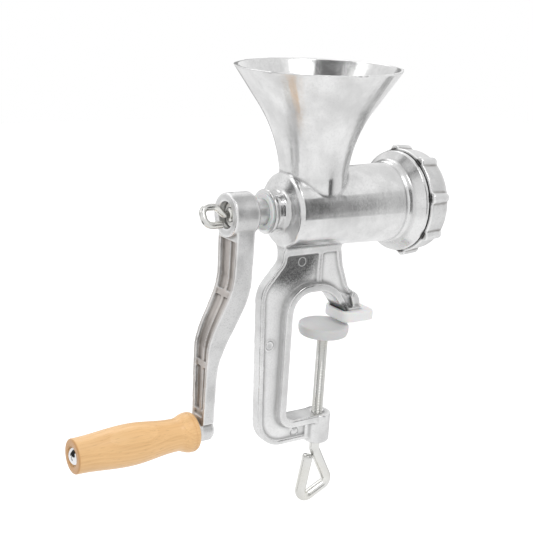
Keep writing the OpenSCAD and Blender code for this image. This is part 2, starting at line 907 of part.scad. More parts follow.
// Middle of the clamp screw's bent loop
loop_path = rounded([
    [0, loop_start_z + 1],
    [0, loop_start_z - 3],
    [loop_w, boss_bottom_z - loop_h + 12],
    [-loop_w + 3, boss_bottom_z - loop_h],
    [-5.2, loop_start_z - 6.4]
], 5.4);

module clamp_screw() {
    tip_top = foot_bottom_z + swivel_t + tip_head_t;
    color("lightgray")
        placed()
            translate([screw_x, 0, 0])
                union() {
                    rotate_extrude()
                        polygon([
                            [0, loop_start_z],
                            [screw_r, loop_start_z],
                            [screw_r, foot_bottom_z - slip],
                            [tip_r, foot_bottom_z - slip],
                            [tip_r, foot_bottom_z + swivel_t + slip],
                            [tip_head_r, foot_bottom_z + swivel_t + slip],
                            [tip_head_r - 0.6, tip_top],
                            [0, tip_top]
                        ]);
                    wire(loop_path, screw_r - 0.1);
                }
}

// Steel disc that the screw's riveted tip turns in
module foot_plate() {
    color("silver")
        placed()
            translate([screw_x, 0, foot_bottom_z])
                difference() {
                    cylinder(h = swivel_t, r = swivel_r);
                    translate([0, 0, -1]) cylinder(h = swivel_t + 2, r = tip_r + fit);
                }
}

module foot_pad() {
    color("white")
        placed()
            translate([screw_x, 0, foot_bottom_z])
                difference() {
                    rotate_extrude()
                        polygon([[0, 0], [foot_r - 1.6, 0], [foot_r - 0.7, 0.7],
                            [foot_r - 0.5, foot_t - 5.6], [foot_r, foot_t - 5.2],
                            [foot_r, foot_t - 1], [foot_r - 1, foot_t], [0, foot_t]]);
                    translate([0, 0, -1]) cylinder(h = swivel_t + 1, r = swivel_r + slip);
                    cylinder(h = swivel_t + tip_head_t + 0.6, r = foot_hole_r);
                }
}

module pad_outline(t) {
    hull()
        for (x = [-1, 1])
            for (y = [-1, 1])
                let (r = x < 0 ? 7 : 3)
                    translate([x * (pad_len / 2 - r), y * (pad_w / 2 - r)])
                        circle(r = r - t, $fn = 32);
}

module jaw_pad() {
    color("white")
        difference() {
            union() {
                linear_extrude(0.8) pad_outline(0.8);
                translate([0, 0, 0.8]) linear_extrude(pad_t - 1.6) pad_outline(0);
                translate([0, 0, pad_t - 0.8]) linear_extrude(0.8) pad_outline(0.8);
            }
            translate([foot_rear_x - jaw_x - slip, -foot_half_w - slip, pad_t - pad_pocket])
                cube([foot_front_x - foot_rear_x + 2 * slip, 2 * (foot_half_w + slip), pad_t]);
        }
}

body_casting();
shaft_bush();
thrust_washer();
auger();
drive_pin();
knife();
hole_plate();
plate_key();
ring_nut();
crank_arm();
thumb_washer();
thumb_screw();
handle_grip();
handle_bolt();
handle_washer();
clamp_screw();
foot_plate();
foot_pad();
jaw_pad();
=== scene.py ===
import json
import math

import bpy
import numpy as np
from bpy.props import FloatProperty, FloatVectorProperty, IntProperty, PointerProperty
from bpy.types import Operator, Panel, PropertyGroup
from mathutils import Matrix, Vector


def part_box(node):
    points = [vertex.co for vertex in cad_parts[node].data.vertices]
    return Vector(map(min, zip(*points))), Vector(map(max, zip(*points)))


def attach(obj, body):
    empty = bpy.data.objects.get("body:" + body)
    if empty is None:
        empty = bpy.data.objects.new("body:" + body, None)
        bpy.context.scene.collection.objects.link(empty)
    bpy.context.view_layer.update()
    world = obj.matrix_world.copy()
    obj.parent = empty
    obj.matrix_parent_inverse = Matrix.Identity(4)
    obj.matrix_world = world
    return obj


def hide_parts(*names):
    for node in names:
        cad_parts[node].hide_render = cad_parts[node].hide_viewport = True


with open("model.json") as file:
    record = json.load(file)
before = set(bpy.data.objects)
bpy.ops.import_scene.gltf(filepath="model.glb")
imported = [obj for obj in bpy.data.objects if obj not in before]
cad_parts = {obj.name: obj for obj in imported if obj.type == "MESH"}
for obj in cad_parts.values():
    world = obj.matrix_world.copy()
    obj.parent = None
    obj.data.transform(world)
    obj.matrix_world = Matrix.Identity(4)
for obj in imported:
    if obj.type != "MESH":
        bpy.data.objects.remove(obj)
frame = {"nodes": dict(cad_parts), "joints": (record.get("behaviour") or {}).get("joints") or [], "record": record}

bl_info = {
    "name": "Meat Grinder Finishes",
    "version": (1, 0, 0),
    "blender": (4, 5, 0),
    "location": "View3D > Sidebar > Grinder",
    "description": "Casts, turns, bends and finishes the pieces of a meat grinder",
    "category": "Object",
}

MM = 0.001
JOINTS = {joint["name"]: joint for joint in frame["joints"]}
AXLE = Vector(JOINTS["crank_spin"]["pos_m"])
HANDLE_AXIS = Vector(JOINTS["handle_spin"]["pos_m"])
SCREW_AXIS = Vector(JOINTS["clamp_turn"]["pos_m"])
# shares that the meshes carry and the finishes read
RAW_SKIN = "raw_skin"
RELIEF = "relief"
# share of the narrow gaps between parts, where a painted shadow darkens the colour
GAP_SHADOW = "gap_shadow"
WHITE = (1.0, 1.0, 1.0, 1.0)
BLACK = (0.0, 0.0, 0.0, 1.0)
# near-black colour of that painted shadow in the gaps
GAP_SHADOW_COLOUR = (0.02, 0.02, 0.02, 1.0)


# ---- sizes and colours


class GrinderSizes(PropertyGroup):
    """Sizes that the finishing of the pieces uses."""

    casting_grid: FloatProperty(
        name="Casting Grid", description="Mesh size of the body casting",
        default=0.6 * MM, unit="LENGTH", precision=5)
    fine_grid: FloatProperty(
        name="Fine Grid", description="Mesh size of the crank, the nut and the feed screw",
        default=0.55 * MM, unit="LENGTH", precision=5)
    casting_passes: IntProperty(
        name="Edge Passes", description="How often a casting's edges are rubbed rounder",
        default=7, min=0, max=40)
    nut_pitch: FloatProperty(
        name="Nut Pitch", description="Pitch of the thread under the ring nut",
        default=3 * MM, unit="LENGTH", precision=5)
    clamp_pitch: FloatProperty(
        name="Clamp Pitch", description="Pitch of the clamp screw",
        default=1.25 * MM, unit="LENGTH", precision=5)
    thumb_pitch: FloatProperty(
        name="Thumb Pitch", description="Pitch of the thumb screw",
        default=0.8 * MM, unit="LENGTH", precision=5)
    camera_lens: FloatProperty(
        name="Lens", description="Focal length of the camera", default=72.87 * MM,
        unit="CAMERA", subtype="DISTANCE_CAMERA")


class GrinderColours(PropertyGroup):
    """Colours of the finishes."""

    polished: FloatVectorProperty(
        name="Polished Aluminium", description="Colour of the body casting",
        default=(0.76, 0.76, 0.76), subtype="COLOR", min=0, max=1)
    cast: FloatVectorProperty(
        name="Cast Aluminium", description="Colour of the ring nut and the crank",
        default=(0.65, 0.65, 0.65), subtype="COLOR", min=0, max=1)
    zinc: FloatVectorProperty(
        name="Zinc", description="Colour of the plated screws",
        default=(0.84, 0.84, 0.82), subtype="COLOR", min=0, max=1)
    steel: FloatVectorProperty(
        name="Steel", description="Colour of the knife and the hole plate",
        default=(0.55, 0.55, 0.56), subtype="COLOR", min=0, max=1)
    wood_light: FloatVectorProperty(
        name="Light Wood", description="Colour between the handle's year rings",
        default=(0.93, 0.585, 0.27), subtype="COLOR", min=0, max=1)
    wood_dark: FloatVectorProperty(
        name="Dark Wood", description="Colour of the handle's year rings",
        default=(0.76, 0.41, 0.16), subtype="COLOR", min=0, max=1)
    plastic: FloatVectorProperty(
        name="Plastic", description="Colour of the pads",
        default=(0.80, 0.80, 0.80), subtype="COLOR", min=0, max=1)


def sizes():
    return bpy.context.scene.grinder_sizes


def colours():
    return bpy.context.scene.grinder_colours


# ---- shader helpers


def feed(tree, socket, value):
    """Link a socket to another one, or set its plain value."""
    if isinstance(value, bpy.types.NodeSocket):
        tree.links.new(value, socket)
    else:
        socket.default_value = value


def join(tree, node, **values):
    """Feed a node's inputs of those names."""
    for label, value in values.items():
        feed(tree, node.inputs[label.replace("_", " ")], value)


def add(tree, kind, settings=None, **inputs):
    """A node of that kind, with its settings made and its inputs fed."""
    made = tree.nodes.new(kind)
    for name, value in (settings or {}).items():
        setattr(made, name, value)
    join(tree, made, **inputs)
    return made


def calc(tree, operation, *values):
    """The output of a Math node."""
    made = tree.nodes.new("ShaderNodeMath")
    made.operation = operation
    for socket, value in zip(made.inputs, values):
        feed(tree, socket, value)
    return made.outputs[0]


def mixed(tree, share, first, second):
    """The output of a colour Mix node."""
    made = tree.nodes.new("ShaderNodeMix")
    made.data_type = "RGBA"
    # a Mix node's factor, and its colours A and B
    for number, value in zip((0, 6, 7), (share, first, second)):
        feed(tree, made.inputs[number], value)
    return made.outputs[2]


def spread(tree, value, low, high, new_low=0.0, new_high=1.0):
    """value from low to high becomes new_low to new_high."""
    made = add(tree, "ShaderNodeMapRange", {"interpolation_type": "SMOOTHSTEP"}, Value=value)
    join(tree, made, From_Min=low, From_Max=high, To_Min=new_low, To_Max=new_high)
    return made.outputs["Result"]


def noise(tree, vector, scale, detail=3.0, roughness=0.5):
    """The output of a Noise Texture node."""
    made = add(tree, "ShaderNodeTexNoise", Vector=vector, Scale=scale, Detail=detail,
               Roughness=roughness)
    return made.outputs["Fac"]


def stored(tree, name):
    """The share of that name that the mesh carries."""
    return add(tree, "ShaderNodeAttribute", {"attribute_name": name}).outputs["Fac"]


def place(tree, scale=(1, 1, 1), shift=(0, 0, 0)):
    """The point on the piece, in metres, stretched and shifted."""
    here = add(tree, "ShaderNodeTexCoord").outputs["Object"]
    made = add(tree, "ShaderNodeMapping", Vector=here, Scale=scale, Location=shift)
    return made.outputs["Vector"]


def split(tree, vector):
    """A point's three measures."""
    return add(tree, "ShaderNodeSeparateXYZ", Vector=vector).outputs


def shade(colour, factor):
    """A colour as RGBA, made darker or lighter."""
    return tuple(min(1.0, part * factor) for part in colour[:3]) + (1.0,)


def new_group(name, inputs, outputs):
    """An empty node group with its sockets, and its two end nodes. Its outputs are values."""
    group = bpy.data.node_groups.new(name, "ShaderNodeTree")
    for label, default in inputs.items():
        kind = "NodeSocketVector" if isinstance(default, tuple) else "NodeSocketFloat"
        socket = group.interface.new_socket(name=label, in_out="INPUT", socket_type=kind)
        socket.default_value = default
    for label in outputs:
        group.interface.new_socket(name=label, in_out="OUTPUT", socket_type="NodeSocketFloat")
    return group, group.nodes.new("NodeGroupInput"), group.nodes.new("NodeGroupOutput")


FLAT_POINTINESS = 0.5


def edge_group():
    """Masks of the edges that are rubbed bright and of the hollows, which get painted shade."""
    group, start, end = new_group("Rubbed Edges", {"Width": 0.05}, ("Edge", "Hollow"))
    sharpness = group.nodes.new("ShaderNodeNewGeometry").outputs["Pointiness"]
    out = calc(group, "SUBTRACT", sharpness, FLAT_POINTINESS)
    edge = calc(group, "SUBTRACT", calc(group, "DIVIDE", out, start.outputs["Width"]),
                stored(group, RELIEF))
    hollow = calc(group, "MULTIPLY", edge, -1.0)
    limited = [add(group, "ShaderNodeClamp", Value=value).outputs["Result"]
               for value in (edge, hollow)]
    join(group, end, Edge=limited[0], Hollow=limited[1])
    return group


def cast_group():
    """Skin of a sand or die casting: pits and soft swells, and broad stains."""
    group, start, end = new_group(
        "Cast Skin", {"Grain": 900.0, "Swell": 60.0}, ("Height", "Pits", "Stain"))
    here = place(group)
    grain = noise(group, here, start.outputs["Grain"], 4.0, 0.6)
    swell = noise(group, here, start.outputs["Swell"], 2.0)
    pit_size = calc(group, "MULTIPLY", start.outputs["Grain"], 0.45)
    cells = add(group, "ShaderNodeTexVoronoi", Vector=here, Scale=pit_size)
    pits = spread(group, cells.outputs["Distance"], 0.0, 0.32, 1.0, 0.0)
    bumpy = calc(group, "MULTIPLY_ADD", swell, 2.0, grain)
    height = calc(group, "MULTIPLY_ADD", pits, -0.35, bumpy)
    stain = noise(group, place(group, shift=(0.3, 0.1, 0.7)), 38.0, 5.0, 0.62)
    join(group, end, Height=height, Pits=pits, Stain=stain)
    return group


def speckle_group():
    """Fine dots and long soft streaks that break up a bright skin."""
    group, start, end = new_group(
        "Speckle", {"Dots": 1500.0, "Streaks": 110.0}, ("Dot", "Streak", "Raw", "Dirt"))
    here = place(group)
    dots = noise(group, here, start.outputs["Dots"], 2.0, 0.7)
    streaks = noise(group, place(group, (1.0, 1.0, 0.16)), start.outputs["Streaks"], 3.0, 0.55)
    # the last output is the share of painted shadow in narrow gaps
    join(group, end, Dot=dots, Streak=streaks, Raw=stored(group, RAW_SKIN),
         Dirt=stored(group, GAP_SHADOW))
    return group


def rub_group():
    """Fine lines left by a polishing wheel or a turning tool along one direction."""
    group, start, end = new_group(
        "Rubbed Lines", {"Stretch": (1.0, 1.0, 1.0), "Fineness": 400.0}, ("Height", "Patch"))
    here = add(group, "ShaderNodeTexCoord").outputs["Object"]
    pulled = add(group, "ShaderNodeVectorMath", {"operation": "MULTIPLY"})
    feed(group, pulled.inputs[0], here)
    feed(group, pulled.inputs[1], start.outputs["Stretch"])
    lines = noise(group, pulled.outputs[0], start.outputs["Fineness"], 2.0, 0.7)
    join(group, end, Height=lines, Patch=noise(group, here, 45.0, 3.0, 0.55))
    return group


GROUPS = {}


def use_group(tree, maker, **inputs):
    """One shared group placed in a material with its own values."""
    if maker not in GROUPS:
        GROUPS[maker] = maker()
    made = tree.nodes.new("ShaderNodeGroup")
    made.node_tree = GROUPS[maker]
    join(tree, made, **inputs)
    return made.outputs


def new_material(name, **plain):
    """A material with one Principled shader and its plain values."""
    made = bpy.data.materials.new(name)
    made.use_nodes = True
    tree = made.node_tree
    shader = tree.nodes["Principled BSDF"]
    join(tree, shader, **plain)
    return made, tree, shader


def bump(tree, height, strength, distance):
    """The normal that a height gives."""
    made = add(tree, "ShaderNodeBump", Height=height, Strength=strength, Distance=distance)
    return made.outputs["Normal"]


# ---- finishes


# dark patches on the clamp frame, mould scale together with painted shade under the barrel:
# along the axle, height, reach, in millimetres, and whether only the sunk panel has it
SCALE_AND_SHADE = (
    (10.0, -30.0, 31.0, True), (-14.6, -51.5, 2.4, False), (-15.6, -55.0, 2.6, False),
    (-16.0, -58.5, 2.2, False), (54.0, -74.0, 6.0, False))
# how far a patch's edge wanders and where it fades out and in, as shares of its reach
PATCH_WANDER, PATCH_OUTER, PATCH_INNER = 0.5, 0.8, 0.3
PATCH_STRENGTH = 0.95
# where the finish changes, in millimetres: along the axle and off it for the neck, and in
# height for the clamp frame
NECK_ALONG = (-3.0, -5.0)
NECK_OFF = (24.0, 20.0)
FRAME_HEIGHT = (-27.0, -31.0)


def scale_and_shade_patch(tree, x, z, reach, ragged):
    """Mask of a ragged dark patch on the clamp frame: mould scale with painted shade."""
    middle = AXLE + Vector((x, 0.0, z)) * MM
    parts = split(tree, place(tree))
    across = calc(tree, "SUBTRACT", parts["X"], middle.x)
    up = calc(tree, "SUBTRACT", parts["Z"], middle.z)
    square = calc(tree, "MULTIPLY_ADD", across, across, calc(tree, "MULTIPLY", up, up))
    wander = -PATCH_WANDER * reach * MM
    away = calc(tree, "MULTIPLY_ADD", ragged, wander, calc(tree, "SQRT", square))
    return spread(
        tree, away, reach * PATCH_OUTER * MM, reach * PATCH_INNER * MM, 0.0, PATCH_STRENGTH)


def faded(tree, value, middle, fade):
    """Share that grows from the first to the second distance of a fade round the middle."""
    return spread(tree, value, middle + fade[0] * MM, middle + fade[1] * MM)


def polished_aluminium():
    """Bright on the barrel and hopper, where the wheel reached; duller on the clamp frame."""
    made, tree, shader = new_material("polished_aluminium_finish", Metallic=1.0)
    colour = colours().polished
    cast = use_group(tree, cast_group, Grain=520.0, Swell=42.0)
    edge = use_group(tree, edge_group, Width=0.08)
    rub = use_group(tree, rub_group, Stretch=(1.0, 1.0, 0.12), Fineness=900.0)
    speckle = use_group(tree, speckle_group, Dots=1300.0, Streaks=110.0)
    parts = split(tree, place(tree))
    off_axle = calc(tree, "ABSOLUTE", calc(tree, "SUBTRACT", parts["Z"], AXLE.z))
    neck_share = calc(tree, "MULTIPLY", faded(tree, parts["X"], AXLE.x, NECK_ALONG),
                      faded(tree, off_axle, 0.0, NECK_OFF))
    frame_share = faded(tree, parts["Z"], AXLE.z, FRAME_HEIGHT)
    tone = spread(tree, cast["Stain"], 0.35, 0.7)
    metal = mixed(tree, tone, shade(colour, 0.86), shade(colour, 1.07))
    streak = spread(tree, speckle["Streak"], 0.42, 0.7, 0.0, 0.3)
    streaked = mixed(tree, streak, metal, shade(colour, 0.72))
    dot = spread(tree, speckle["Dot"], 0.5, 0.72, 0.0, 0.4)
    dotted = mixed(tree, dot, streaked, shade(colour, 0.6))
    raw = calc(tree, "MULTIPLY", speckle["Raw"], frame_share)
    half_stain = calc(tree, "MULTIPLY", cast["Stain"], 0.5)
    grain = calc(tree, "MULTIPLY_ADD", speckle["Dot"], 0.5, half_stain)
    sunk = mixed(tree, raw, dotted, shade(colour, 1.2))
    mottle = calc(
        tree, "MULTIPLY", spread(tree, grain, 0.42, 0.6), calc(tree, "MULTIPLY", raw, 0.2))
    scaled = mixed(tree, mottle, sunk, shade(colour, 0.5))
    # dark patches of mould scale together with painted shade under the barrel
    scale_and_shade_dots = spread(tree, speckle["Dot"], 0.4, 0.6)
    scale_and_shade_colour = mixed(tree, scale_and_shade_dots, shade(colour, 0.26), shade(colour, 0.08))
    for x, z, reach, sunk_only in SCALE_AND_SHADE:
        patch = scale_and_shade_patch(tree, x, z, reach, grain)
        patch = calc(tree, "MULTIPLY", patch, speckle["Raw"]) if sunk_only else patch
        scaled = mixed(tree, patch, scaled, scale_and_shade_colour)
    # painted shade in the hollows
    hollow_shaded = mixed(tree, calc(tree, "MULTIPLY", edge["Hollow"], 0.85), scaled, shade(colour, 0.34))
    # painted shadow in the gap at the ring nut
    gap_shadowed = mixed(tree, speckle["Dirt"], hollow_shaded, GAP_SHADOW_COLOUR)
    patches = spread(tree, rub["Patch"], 0.3, 0.72, 0.15, 0.27)
    duller = calc(tree, "MULTIPLY_ADD", frame_share, 0.12, patches)
    hollow_rough = calc(tree, "MULTIPLY_ADD", edge["Hollow"], 0.25, duller)
    rough = calc(tree, "MULTIPLY_ADD", raw, 0.14, hollow_rough)
    worn = calc(tree, "MULTIPLY", calc(tree, "MULTIPLY", edge["Edge"], frame_share), -0.16)
    smooth = calc(tree, "MULTIPLY_ADD", neck_share, -0.1, calc(tree, "ADD", rough, worn))
    lines = calc(tree, "MULTIPLY_ADD", rub["Height"], 0.12, cast["Height"])
    join(tree, shader, Base_Color=gap_shadowed, Roughness=smooth,
         Normal=bump(tree, lines, 0.28, 0.12 * MM))
    return made


def cast_aluminium():
    """Grey casting, rubbed bright on its edges; its sunk faces keep the mould's brownish skin,
    darkened with painted shade.
    """
    made, tree, shader = new_material("cast_aluminium_finish", Metallic=1.0)
    colour = colours().cast
    cast = use_group(tree, cast_group, Grain=1100.0, Swell=120.0)
    edge = use_group(tree, edge_group, Width=0.06)
    speckle = use_group(tree, speckle_group, Dots=1700.0, Streaks=200.0)
    tone = spread(tree, cast["Stain"], 0.36, 0.66)
    metal = mixed(tree, tone, shade(colour, 0.88), shade(colour, 1.16))
    dot = spread(tree, speckle["Dot"], 0.5, 0.7, 0.0, 0.45)
    dotted = mixed(tree, dot, metal, shade(colour, 0.62))
    pitted = mixed(tree, calc(tree, "MULTIPLY", cast["Pits"], 0.35), dotted, shade(colour, 0.5))
    # brownish mould skin, made darker as painted shade in the crank's channel
    skin = mixed(tree, tone, (0.42, 0.38, 0.355, 1.0), (0.62, 0.575, 0.545, 1.0))
    raw = mixed(tree, calc(tree, "MULTIPLY", speckle["Raw"], 0.85), pitted, skin)
    # painted shadow in the gap behind the ring nut
    gap_shadowed = mixed(tree, speckle["Dirt"], raw, GAP_SHADOW_COLOUR)
    # painted shade in the hollows
    hollow = calc(tree, "MULTIPLY", edge["Hollow"], 0.8)
    hollow_shade = mixed(tree, hollow, gap_shadowed, (0.16, 0.145, 0.13, 1.0))
    bare = calc(tree, "MULTIPLY_ADD", speckle["Raw"], -0.6, 0.7)
    rubbed = mixed(tree, calc(tree, "MULTIPLY", edge["Edge"], bare), hollow_shade, shade(colour, 1.35))
    rough = spread(tree, cast["Stain"], 0.3, 0.7, 0.32, 0.46)
    rougher = calc(tree, "MULTIPLY_ADD", speckle["Raw"], 0.16, rough)
    smooth = calc(tree, "MULTIPLY_ADD", edge["Edge"], -0.12, rougher)
    join(tree, shader, Base_Color=rubbed, Roughness=smooth,
         Normal=bump(tree, cast["Height"], 0.6, 0.16 * MM))
    return made


def zinc_steel():
    """Bright zinc with a faint yellow cast in patches, and painted shade in the thread's roots."""
    made, tree, shader = new_material("zinc_steel_finish", Metallic=1.0)
    colour = colours().zinc
    rub = use_group(tree, rub_group, Stretch=(1.0, 1.0, 0.2), Fineness=1400.0)
    edge = use_group(tree, edge_group, Width=0.08)
    yellow = (colour[0], colour[1] * 0.99, colour[2] * 0.96, 1.0)
    metal = mixed(tree, spread(tree, rub["Patch"], 0.38, 0.64), shade(colour, 1.0), yellow)
    # painted shade in the thread's roots
    join(tree, shader, Base_Color=mixed(tree, edge["Hollow"], metal, shade(colour, 0.35)),
         Roughness=spread(tree, rub["Patch"], 0.3, 0.7, 0.16, 0.3),
         Normal=bump(tree, rub["Height"], 0.2, 0.05 * MM))
    return made


def tool_steel():
    """Ground steel with fine lines, and painted shade in its hollows."""
    made, tree, shader = new_material("tool_steel_finish", Metallic=1.0)
    colour = colours().steel
    rub = use_group(tree, rub_group, Stretch=(1.0, 0.08, 1.0), Fineness=1600.0)
    edge = use_group(tree, edge_group, Width=0.08)
    metal = mixed(tree, rub["Patch"], shade(colour, 0.85), shade(colour, 1.15))
    # painted shade in the hollows
    join(tree, shader, Base_Color=mixed(tree, edge["Hollow"], metal, shade(colour, 0.4)),
         Roughness=spread(tree, rub["Height"], 0.3, 0.7, 0.24, 0.38),
         Normal=bump(tree, rub["Height"], 0.3, 0.06 * MM))
    return made


def bolt_chrome():
    """Chrome with a few smudges."""
    made, tree, shader = new_material("bolt_chrome_finish", Metallic=1.0)
    smudge = noise(tree, place(tree), 160.0, 4.0, 0.6)
    metal = mixed(tree, smudge, (0.74, 0.74, 0.75, 1.0), (0.86, 0.86, 0.87, 1.0))
    join(tree, shader, Base_Color=metal,
         Roughness=spread(tree, smudge, 0.35, 0.75, 0.05, 0.14))
    return made


# from the tree's pith to the part's origin in metres, and how close the year rings lie
PITH_SHIFT = (0.0, -0.031, 0.105)
RINGS_PER_METRE = 520.0


def beech():
    """Turned beech: year rings round a pith beside the handle, fibres and short pores."""
    made, tree, shader = new_material(
        "beech_finish", Coat_Weight=0.45, Coat_Roughness=0.22, Specular_IOR_Level=0.4)
    light, dark = colours().wood_light, colours().wood_dark
    waver = noise(tree, place(tree, (6, 24, 24)), 1.0, 2.0, 0.5)
    from_pith = add(tree, "ShaderNodeVectorMath", {"operation": "LENGTH"})
    feed(tree, from_pith.inputs[0], place(tree, (0.0, 1.0, 1.0), PITH_SHIFT))
    apart = calc(tree, "MULTIPLY_ADD", waver, 0.006, from_pith.outputs["Value"])
    year = calc(tree, "FRACT", calc(tree, "MULTIPLY", apart, RINGS_PER_METRE))
    ring = spread(tree, year, 0.1, 0.95)
    fibre = noise(tree, place(tree, (12, 1000, 1000)), 1.0, 3.0, 0.6)
    pores = noise(tree, place(tree, (60, 1800, 1800)), 1.0, 2.0, 0.5)
    pore = spread(tree, pores, 0.60, 0.72)
    broad = noise(tree, place(tree, (12, 60, 60), (0.4, 0.2, 0.1)), 1.0, 2.0, 0.5)
    base = mixed(tree, spread(tree, broad, 0.3, 0.7), shade(light, 0.92), shade(light, 1.06))
    ringed = mixed(tree, calc(tree, "MULTIPLY", ring, 0.22), base, shade(dark, 1.05))
    fibrous = calc(tree, "MULTIPLY", spread(tree, fibre, 0.4, 0.75), 0.28)
    grained = mixed(tree, fibrous, ringed, shade(dark, 0.9))
    pored = mixed(tree, calc(tree, "MULTIPLY", pore, 0.4), grained, shade(dark, 0.7))
    along_handle = split(tree, place(tree))["X"]
    end_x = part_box("handle_grip")[0].x
    end_grain = spread(tree, along_handle, end_x + 1.2 * MM, end_x + 0.3 * MM)
    groove = calc(tree, "MULTIPLY_ADD", pore, -0.6, fibre)
    join(tree, shader, Base_Color=mixed(tree, end_grain, pored, shade(dark, 0.86)),
         Roughness=spread(tree, fibre, 0.3, 0.7, 0.38, 0.52),
         Normal=bump(tree, groove, 0.25, 0.05 * MM))
    return made


def white_plastic():
    """Moulded plastic, greyer where it is used."""
    made, tree, shader = new_material(
        "white_plastic_finish", Subsurface_Weight=0.25, Subsurface_Scale=2.0 * MM,
        Specular_IOR_Level=0.45)
    cloud = noise(tree, place(tree), 70.0, 3.0, 0.5)
    skin = noise(tree, place(tree), 900.0, 3.0, 0.55)
    colour = colours().plastic
    fresh = mixed(tree, cloud, shade(colour, 1.14), shade(colour, 1.22))
    scuffed = mixed(tree, cloud, shade(colour, 0.84), shade(colour, 0.97))
    join(tree, shader, Base_Color=mixed(tree, stored(tree, RAW_SKIN), fresh, scuffed),
         Roughness=spread(tree, skin, 0.3, 0.7, 0.3, 0.42),
         Normal=bump(tree, skin, 0.12, 0.05 * MM))
    return made


FINISHES = {
    "polished_aluminium": polished_aluminium,
    "cast_aluminium": cast_aluminium,
    "zinc_steel": zinc_steel,
    "tool_steel": tool_steel,
    "bolt_chrome": bolt_chrome,
    "beech": beech,
    "white_plastic": white_plastic,
}


MADE = {}


def finish(piece, slot):
    """Give a piece the finish of that slot of the record."""
    if slot not in MADE:
        MADE[slot] = FINISHES[slot]()
    piece.data.materials.clear()
    piece.data.materials.append(MADE[slot])


# ---- mesh helpers


TURN = 2 * math.pi


def linked(name, data):
    """An object with that data, in the scene."""
    made = bpy.data.objects.new(name, data)
    bpy.context.scene.collection.objects.link(made)
    return made


def new_piece(name, points, faces):
    """A smooth mesh object from points in metres."""
    mesh = bpy.data.meshes.new(name)
    mesh.from_pydata([tuple(p) for p in points], [], faces)
    mesh.validate()
    mesh.shade_smooth()
    return linked(name, mesh)


def seat(piece, body, slot, *nodes):
    """Finish a piece, set it on its body and let it stand for its solids."""
    finish(piece, slot)
    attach(piece, body)
    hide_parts(*nodes)


def vectors_of(mesh, field):
    """The points ("co") or the normals ("normal") of a mesh, one row each."""
    rows = np.empty(len(mesh.vertices) * 3)
    mesh.vertices.foreach_get(field, rows)
    return rows.reshape(-1, 3)


def set_points(mesh, points):
    """Move a mesh's points to new places."""
    mesh.vertices.foreach_set("co", points.ravel())
    mesh.update()


def recast(name, node, grid):
    """A casting's skin: one even mesh over the node's solid."""
    rough = linked(name + "_pattern", frame["nodes"][node].data.copy())
    weld = rough.modifiers.new("Weld", "WELD")
    weld.merge_threshold = 0.001 * MM
    remesh = rough.modifiers.new("Remesh", "REMESH")
    remesh.mode = "VOXEL"
    remesh.voxel_size = grid
    graph = bpy.context.evaluated_depsgraph_get()
    mesh = bpy.data.meshes.new_from_object(rough.evaluated_get(graph))
    bpy.data.objects.remove(rough)
    mesh.name = name
    mesh.shade_smooth()
    return linked(name, mesh)


def mark(mesh, name, share):
    """Store a share for each point, for the finishes."""
    layer = mesh.attributes.new(name, "FLOAT", "POINT")
    layer.data.foreach_set("value", share.astype(np.float32))


# how far one pass draws a point towards the middle of its neighbours
HOLLOW_PULL = 0.85
EDGE_PULL = 0.5
RELIEF_PULL = 0.6


def neighbour_pull(mesh):
    """A function that gives each point's way to the middle of its neighbours."""
    count = len(mesh.vertices)
    ends = np.empty(len(mesh.edges) * 2, dtype=np.int64)
    mesh.edges.foreach_get("vertices", ends)
    first, second = ends.reshape(-1, 2).T
    degree = np.bincount(first, minlength=count) + np.bincount(second, minlength=count)

    def pull(points):
        total = np.stack([
            np.bincount(first, points[second, k], count)
            + np.bincount(second, points[first, k], count) for k in range(3)], axis=1)
        return total / degree[:, None] - points

    return pull


def rub_edges(mesh, passes, amount):
    """Round the edges: each pass draws points towards their neighbours, further in hollows."""
    points = vectors_of(mesh, "co")
    normals = vectors_of(mesh, "normal")
    pull = neighbour_pull(mesh)
    for _ in range(passes):
        way = pull(points)
        hollow = (way * normals).sum(axis=1) > 0
        strength = np.where(hollow, HOLLOW_PULL, EDGE_PULL) * amount
        points += strength[:, None] * way
    set_points(mesh, points)


def mark_relief(mesh, depth, passes=6):
    """Store where the skin is hollow (above 0) or stands proud (below 0)."""
    points = vectors_of(mesh, "co")
    pull = neighbour_pull(mesh)
    soft = points.copy()
    for _ in range(passes):
        soft += RELIEF_PULL * pull(soft)
    mark(mesh, RELIEF, ((soft - points) * vectors_of(mesh, "normal")).sum(axis=1) / depth)


def in_metres(profile):
    """A profile's points from millimetres to metres."""
    return [(along * MM, radius * MM) for along, radius in profile]


def turned(name, origin, axis, profile, sides=96):
    """A solid turned about a line. The closed profile is (distance along it, radius)."""
    axis = Vector(axis).normalized()
    side = axis.orthogonal().normalized()
    up = axis.cross(side)
    points, faces = [], []
    for along, radius in profile:
        for k in range(sides):
            angle = TURN * k / sides
            arm = side * math.cos(angle) + up * math.sin(angle)
            points.append(origin + axis * along + arm * radius)
    rings = len(profile)
    for i in range(rings):
        here, there = i * sides, (i + 1) % rings * sides
        for k in range(sides):
            after = (k + 1) % sides
            faces.append((here + k, here + after, there + after, there + k))
    return new_piece(name, points, faces)


def rounded(corners, radius, steps=14):
    """A path whose inner corners are arcs of that radius."""
    path = [corners[0]]
    for before, corner, after in zip(corners, corners[1:], corners[2:]):
        back = (before - corner).normalized()
        ahead = (after - corner).normalized()
        half = back.angle(ahead) / 2
        centre = corner + (back + ahead).normalized() * (radius / math.sin(half))
        start = corner + back * (radius / math.tan(half)) - centre
        end = corner + ahead * (radius / math.tan(half)) - centre
        for i in range(steps + 1):
            arm = start.slerp(end, i / steps)
            path.append(centre + arm.normalized() * radius)
    path.append(corners[-1])
    return path


